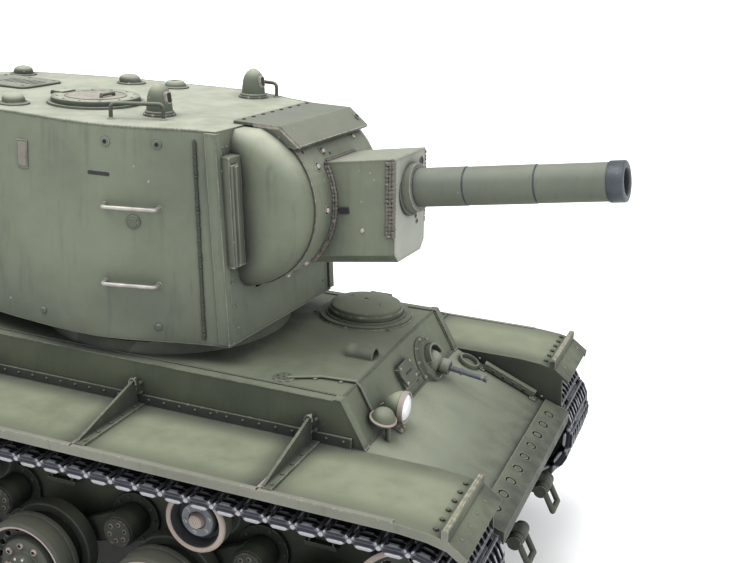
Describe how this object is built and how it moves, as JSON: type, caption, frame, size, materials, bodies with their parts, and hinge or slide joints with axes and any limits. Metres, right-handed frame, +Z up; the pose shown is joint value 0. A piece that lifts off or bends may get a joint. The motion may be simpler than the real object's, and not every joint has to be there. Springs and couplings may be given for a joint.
{
  "type": "rc tank",
  "caption": "Radio-controlled heavy tank model: tall slab-sided turret on a geared ring, short howitzer in a curved mantlet, sprung road wheels inside full-length link tracks.",
  "frame": {"origin": "on the ground under the centre of the overall box, at the rest pose", "axes": "+X towards the tank's front, +Y to its left, +Z up"},
  "size_m": [0.4591, 0.1992, 0.2093],
  "materials": {
    "armour_paint": "matte olive grey paint, dusty and chipped",
    "wheel_paint": "matte olive grey paint with worn rims",
    "track_metal": "dark blued cast metal with bright worn edges",
    "gun_metal": "satin dark blue grey",
    "bare_steel": "worn bare metal",
    "lens_white": "white opal lens with an olive shell",
    "circuit_board": "green solder mask with black parts",
    "battery_wrap": "blue shrink wrap",
    "gear_nylon": "natural nylon",
    "black_plastic": "black moulded plastic"
  },
  "bodies": {
    "hull": {"hull_lower": "armour_paint", "hull_upper": "armour_paint", "fenders": "armour_paint", "fender_brackets": "armour_paint", "nose_strip": "armour_paint", "tow_shackles": "armour_paint", "suspension_housings": "wheel_paint", "engine_deck": "armour_paint", "headlight": "lens_white", "hull_screws": "bare_steel", "battery": "battery_wrap", "receiver_and_speaker": "circuit_board", "drive_units": "black_plastic", "track_right": "track_metal", "track_left": "track_metal"},
    "turret": {"turret_shell": "armour_paint", "turret_base": "armour_paint", "turret_fittings": "armour_paint", "elevation_servo": "black_plastic"},
    "gun": {"mantlet": "armour_paint"},
    "barrel": {"barrel": "gun_metal"},
    "turret_hatch": {"turret_hatch": "armour_paint"},
    "turret_door": {"turret_door": "armour_paint"},
    "hull_hatch": {"hull_hatch": "armour_paint"},
    "mg_ball": {"mg_ball": "gun_metal"},
    "slew_pinion": {"slew_pinion": "gear_nylon"},
    "drive_sprocket_right": {"drive_sprocket_right": "wheel_paint"},
    "idler_right": {"idler_right": "wheel_paint"},
    "return_roller_right_1": {"return_roller_right_1": "wheel_paint"},
    "return_roller_right_2": {"return_roller_right_2": "wheel_paint"},
    "return_roller_right_3": {"return_roller_right_3": "wheel_paint"},
    "suspension_arm_right_1": {"suspension_arm_right_1": "wheel_paint"},
    "road_wheel_right_1": {"road_wheel_right_1": "wheel_paint"},
    "suspension_arm_right_2": {"suspension_arm_right_2": "wheel_paint"},
    "road_wheel_right_2": {"road_wheel_right_2": "wheel_paint"},
    "suspension_arm_right_3": {"suspension_arm_right_3": "wheel_paint"},
    "road_wheel_right_3": {"road_wheel_right_3": "wheel_paint"},
    "suspension_arm_right_4": {"suspension_arm_right_4": "wheel_paint"},
    "road_wheel_right_4": {"road_wheel_right_4": "wheel_paint"},
    "suspension_arm_right_5": {"suspension_arm_right_5": "wheel_paint"},
    "road_wheel_right_5": {"road_wheel_right_5": "wheel_paint"},
    "suspension_arm_right_6": {"suspension_arm_right_6": "wheel_paint"},
    "road_wheel_right_6": {"road_wheel_right_6": "wheel_paint"},
    "drive_sprocket_left": {"drive_sprocket_left": "wheel_paint"},
    "idler_left": {"idler_left": "wheel_paint"},
    "return_roller_left_1": {"return_roller_left_1": "wheel_paint"},
    "return_roller_left_2": {"return_roller_left_2": "wheel_paint"},
    "return_roller_left_3": {"return_roller_left_3": "wheel_paint"},
    "suspension_arm_left_1": {"suspension_arm_left_1": "wheel_paint"},
    "road_wheel_left_1": {"road_wheel_left_1": "wheel_paint"},
    "suspension_arm_left_2": {"suspension_arm_left_2": "wheel_paint"},
    "road_wheel_left_2": {"road_wheel_left_2": "wheel_paint"},
    "suspension_arm_left_3": {"suspension_arm_left_3": "wheel_paint"},
    "road_wheel_left_3": {"road_wheel_left_3": "wheel_paint"},
    "suspension_arm_left_4": {"suspension_arm_left_4": "wheel_paint"},
    "road_wheel_left_4": {"road_wheel_left_4": "wheel_paint"},
    "suspension_arm_left_5": {"suspension_arm_left_5": "wheel_paint"},
    "road_wheel_left_5": {"road_wheel_left_5": "wheel_paint"},
    "suspension_arm_left_6": {"suspension_arm_left_6": "wheel_paint"},
    "road_wheel_left_6": {"road_wheel_left_6": "wheel_paint"}
  },
  "joints": [
    {"name": "turret_yaw", "type": "hinge", "parent": "hull", "child": "turret", "pos_m": [0.03658, 0, 0.1103], "axis": [0, 0, 1], "range_deg": [-165.8, 174.2]},
    {"name": "slew_pinion_spin", "type": "hinge", "parent": "hull", "child": "slew_pinion", "pos_m": [0.00298, 0, 0.104], "axis": [0, 0, 1], "continuous": true},
    {"name": "gun_elevation", "type": "hinge", "parent": "turret", "child": "gun", "pos_m": [0.08624, 0.00444, 0.1649], "axis": [-0.0739, -0.9973, 0], "range_deg": [-12.4, 8]},
    {"name": "barrel_recoil", "type": "slide", "parent": "gun", "child": "barrel", "axis": [-0.9839, 0.0729, -0.1633], "range_m": [0, 0.006], "stiffness_N_per_m": 120, "springref_m": -0.004},
    {"name": "turret_hatch_hinge", "type": "hinge", "parent": "turret", "child": "turret_hatch", "pos_m": [-0.00891, -0.01167, 0.19855], "axis": [-0.0739, -0.9973, 0], "range_deg": [0, 100]},
    {"name": "turret_door_hinge", "type": "hinge", "parent": "turret", "child": "turret_door", "pos_m": [-0.08725, 0.02562, 0.149], "axis": [-0.0419, 0.0031, -0.9991], "range_deg": [0, 105]},
    {"name": "hull_hatch_hinge", "type": "hinge", "parent": "hull", "child": "hull_hatch", "pos_m": [0.11518, 0.0532, 0.1085], "axis": [-1, 0, 0], "range_deg": [0, 110]},
    {"name": "mg_swing", "type": "hinge", "parent": "hull", "child": "mg_ball", "pos_m": [0.14981, 0.0244, 0.09241], "axis": [0, 0, 1], "range_deg": [-10, 10]},
    {"name": "drive_sprocket_right_spin", "type": "hinge", "parent": "hull", "child": "drive_sprocket_right", "pos_m": [-0.20102, -0.078, 0.04902], "axis": [0, 1, 0], "continuous": true, "deforming": ["track_right"]},
    {"name": "idler_right_spin", "type": "hinge", "parent": "hull", "child": "idler_right", "pos_m": [0.18289, -0.078, 0.052], "axis": [0, 1, 0], "continuous": true},
    {"name": "return_roller_right_1_spin", "type": "hinge", "parent": "hull", "child": "return_roller_right_1", "pos_m": [0.09818, -0.078, 0.0606], "axis": [0, 1, 0], "continuous": true},
    {"name": "return_roller_right_2_spin", "type": "hinge", "parent": "hull", "child": "return_roller_right_2", "pos_m": [-0.00602, -0.078, 0.0606], "axis": [0, 1, 0], "continuous": true},
    {"name": "return_roller_right_3_spin", "type": "hinge", "parent": "hull", "child": "return_roller_right_3", "pos_m": [-0.11002, -0.078, 0.0606], "axis": [0, 1, 0], "continuous": true},
    {"name": "suspension_arm_right_1_swing", "type": "hinge", "parent": "hull", "child": "suspension_arm_right_1", "pos_m": [0.17018, -0.063, 0.0366], "axis": [0, 1, 0], "range_deg": [0, 10], "stiffness_Nm_per_rad": 0.35, "springref_deg": -14.32},
    {"name": "road_wheel_right_1_spin", "type": "hinge", "parent": "suspension_arm_right_1", "child": "road_wheel_right_1", "pos_m": [0.13918, -0.08, 0.024], "axis": [0, 1, 0], "continuous": true},
    {"name": "suspension_arm_right_2_swing", "type": "hinge", "parent": "hull", "child": "suspension_arm_right_2", "pos_m": [0.11198, -0.063, 0.0366], "axis": [0, 1, 0], "range_deg": [0, 10], "stiffness_Nm_per_rad": 0.35, "springref_deg": -14.32},
    {"name": "road_wheel_right_2_spin", "type": "hinge", "parent": "suspension_arm_right_2", "child": "road_wheel_right_2", "pos_m": [0.08098, -0.08, 0.024], "axis": [0, 1, 0], "continuous": true},
    {"name": "suspension_arm_right_3_swing", "type": "hinge", "parent": "hull", "child": "suspension_arm_right_3", "pos_m": [0.05378, -0.063, 0.0366], "axis": [0, 1, 0], "range_deg": [0, 10], "stiffness_Nm_per_rad": 0.35, "springref_deg": -14.32},
    {"name": "road_wheel_right_3_spin", "type": "hinge", "parent": "suspension_arm_right_3", "child": "road_wheel_right_3", "pos_m": [0.02278, -0.08, 0.024], "axis": [0, 1, 0], "continuous": true},
    {"name": "suspension_arm_right_4_swing", "type": "hinge", "parent": "hull", "child": "suspension_arm_right_4", "pos_m": [-0.00442, -0.063, 0.0366], "axis": [0, 1, 0], "range_deg": [0, 10], "stiffness_Nm_per_rad": 0.35, "springref_deg": -14.32},
    {"name": "road_wheel_right_4_spin", "type": "hinge", "parent": "suspension_arm_right_4", "child": "road_wheel_right_4", "pos_m": [-0.03542, -0.08, 0.024], "axis": [0, 1, 0], "continuous": true},
    {"name": "suspension_arm_right_5_swing", "type": "hinge", "parent": "hull", "child": "suspension_arm_right_5", "pos_m": [-0.06262, -0.063, 0.0366], "axis": [0, 1, 0], "range_deg": [0, 10], "stiffness_Nm_per_rad": 0.35, "springref_deg": -14.32},
    {"name": "road_wheel_right_5_spin", "type": "hinge", "parent": "suspension_arm_right_5", "child": "road_wheel_right_5", "pos_m": [-0.09362, -0.08, 0.024], "axis": [0, 1, 0], "continuous": true},
    {"name": "suspension_arm_right_6_swing", "type": "hinge", "parent": "hull", "child": "suspension_arm_right_6", "pos_m": [-0.12082, -0.063, 0.0366], "axis": [0, 1, 0], "range_deg": [0, 10], "stiffness_Nm_per_rad": 0.35, "springref_deg": -14.32},
    {"name": "road_wheel_right_6_spin", "type": "hinge", "parent": "suspension_arm_right_6", "child": "road_wheel_right_6", "pos_m": [-0.15182, -0.08, 0.024], "axis": [0, 1, 0], "continuous": true},
    {"name": "drive_sprocket_left_spin", "type": "hinge", "parent": "hull", "child": "drive_sprocket_left", "pos_m": [-0.20102, 0.078, 0.04902], "axis": [0, 1, 0], "continuous": true, "deforming": ["track_left"]},
    {"name": "idler_left_spin", "type": "hinge", "parent": "hull", "child": "idler_left", "pos_m": [0.18289, 0.078, 0.052], "axis": [0, 1, 0], "continuous": true},
    {"name": "return_roller_left_1_spin", "type": "hinge", "parent": "hull", "child": "return_roller_left_1", "pos_m": [0.09818, 0.078, 0.0606], "axis": [0, 1, 0], "continuous": true},
    {"name": "return_roller_left_2_spin", "type": "hinge", "parent": "hull", "child": "return_roller_left_2", "pos_m": [-0.00602, 0.078, 0.0606], "axis": [0, 1, 0], "continuous": true},
    {"name": "return_roller_left_3_spin", "type": "hinge", "parent": "hull", "child": "return_roller_left_3", "pos_m": [-0.11002, 0.078, 0.0606], "axis": [0, 1, 0], "continuous": true},
    {"name": "suspension_arm_left_1_swing", "type": "hinge", "parent": "hull", "child": "suspension_arm_left_1", "pos_m": [0.17018, 0.063, 0.0366], "axis": [0, 1, 0], "range_deg": [0, 10], "stiffness_Nm_per_rad": 0.35, "springref_deg": -14.32},
    {"name": "road_wheel_left_1_spin", "type": "hinge", "parent": "suspension_arm_left_1", "child": "road_wheel_left_1", "pos_m": [0.13918, 0.08, 0.024], "axis": [0, 1, 0], "continuous": true},
    {"name": "suspension_arm_left_2_swing", "type": "hinge", "parent": "hull", "child": "suspension_arm_left_2", "pos_m": [0.11198, 0.063, 0.0366], "axis": [0, 1, 0], "range_deg": [0, 10], "stiffness_Nm_per_rad": 0.35, "springref_deg": -14.32},
    {"name": "road_wheel_left_2_spin", "type": "hinge", "parent": "suspension_arm_left_2", "child": "road_wheel_left_2", "pos_m": [0.08098, 0.08, 0.024], "axis": [0, 1, 0], "continuous": true},
    {"name": "suspension_arm_left_3_swing", "type": "hinge", "parent": "hull", "child": "suspension_arm_left_3", "pos_m": [0.05378, 0.063, 0.0366], "axis": [0, 1, 0], "range_deg": [0, 10], "stiffness_Nm_per_rad": 0.35, "springref_deg": -14.32},
    {"name": "road_wheel_left_3_spin", "type": "hinge", "parent": "suspension_arm_left_3", "child": "road_wheel_left_3", "pos_m": [0.02278, 0.08, 0.024], "axis": [0, 1, 0], "continuous": true},
    {"name": "suspension_arm_left_4_swing", "type": "hinge", "parent": "hull", "child": "suspension_arm_left_4", "pos_m": [-0.00442, 0.063, 0.0366], "axis": [0, 1, 0], "range_deg": [0, 10], "stiffness_Nm_per_rad": 0.35, "springref_deg": -14.32},
    {"name": "road_wheel_left_4_spin", "type": "hinge", "parent": "suspension_arm_left_4", "child": "road_wheel_left_4", "pos_m": [-0.03542, 0.08, 0.024], "axis": [0, 1, 0], "continuous": true},
    {"name": "suspension_arm_left_5_swing", "type": "hinge", "parent": "hull", "child": "suspension_arm_left_5", "pos_m": [-0.06262, 0.063, 0.0366], "axis": [0, 1, 0], "range_deg": [0, 10], "stiffness_Nm_per_rad": 0.35, "springref_deg": -14.32},
    {"name": "road_wheel_left_5_spin", "type": "hinge", "parent": "suspension_arm_left_5", "child": "road_wheel_left_5", "pos_m": [-0.09362, 0.08, 0.024], "axis": [0, 1, 0], "continuous": true},
    {"name": "suspension_arm_left_6_swing", "type": "hinge", "parent": "hull", "child": "suspension_arm_left_6", "pos_m": [-0.12082, 0.063, 0.0366], "axis": [0, 1, 0], "range_deg": [0, 10], "stiffness_Nm_per_rad": 0.35, "springref_deg": -14.32},
    {"name": "road_wheel_left_6_spin", "type": "hinge", "parent": "suspension_arm_left_6", "child": "road_wheel_left_6", "pos_m": [-0.15182, 0.08, 0.024], "axis": [0, 1, 0], "continuous": true}
  ],
  "couplings": [
    {"joint": "slew_pinion_spin", "follows": "turret_yaw", "ratio": 5},
    {"joint": "idler_right_spin", "follows": "drive_sprocket_right_spin", "ratio": 1.1269},
    {"joint": "return_roller_right_1_spin", "follows": "drive_sprocket_right_spin", "ratio": 2.1019},
    {"joint": "return_roller_right_2_spin", "follows": "drive_sprocket_right_spin", "ratio": 2.1019},
    {"joint": "return_roller_right_3_spin", "follows": "drive_sprocket_right_spin", "ratio": 2.1019},
    {"joint": "road_wheel_right_1_spin", "follows": "drive_sprocket_right_spin", "ratio": 1.3651},
    {"joint": "road_wheel_right_2_spin", "follows": "drive_sprocket_right_spin", "ratio": 1.3651},
    {"joint": "road_wheel_right_3_spin", "follows": "drive_sprocket_right_spin", "ratio": 1.3651},
    {"joint": "road_wheel_right_4_spin", "follows": "drive_sprocket_right_spin", "ratio": 1.3651},
    {"joint": "road_wheel_right_5_spin", "follows": "drive_sprocket_right_spin", "ratio": 1.3651},
    {"joint": "road_wheel_right_6_spin", "follows": "drive_sprocket_right_spin", "ratio": 1.3651},
    {"joint": "idler_left_spin", "follows": "drive_sprocket_left_spin", "ratio": 1.1269},
    {"joint": "return_roller_left_1_spin", "follows": "drive_sprocket_left_spin", "ratio": 2.1019},
    {"joint": "return_roller_left_2_spin", "follows": "drive_sprocket_left_spin", "ratio": 2.1019},
    {"joint": "return_roller_left_3_spin", "follows": "drive_sprocket_left_spin", "ratio": 2.1019},
    {"joint": "road_wheel_left_1_spin", "follows": "drive_sprocket_left_spin", "ratio": 1.3651},
    {"joint": "road_wheel_left_2_spin", "follows": "drive_sprocket_left_spin", "ratio": 1.3651},
    {"joint": "road_wheel_left_3_spin", "follows": "drive_sprocket_left_spin", "ratio": 1.3651},
    {"joint": "road_wheel_left_4_spin", "follows": "drive_sprocket_left_spin", "ratio": 1.3651},
    {"joint": "road_wheel_left_5_spin", "follows": "drive_sprocket_left_spin", "ratio": 1.3651},
    {"joint": "road_wheel_left_6_spin", "follows": "drive_sprocket_left_spin", "ratio": 1.3651}
  ]
}
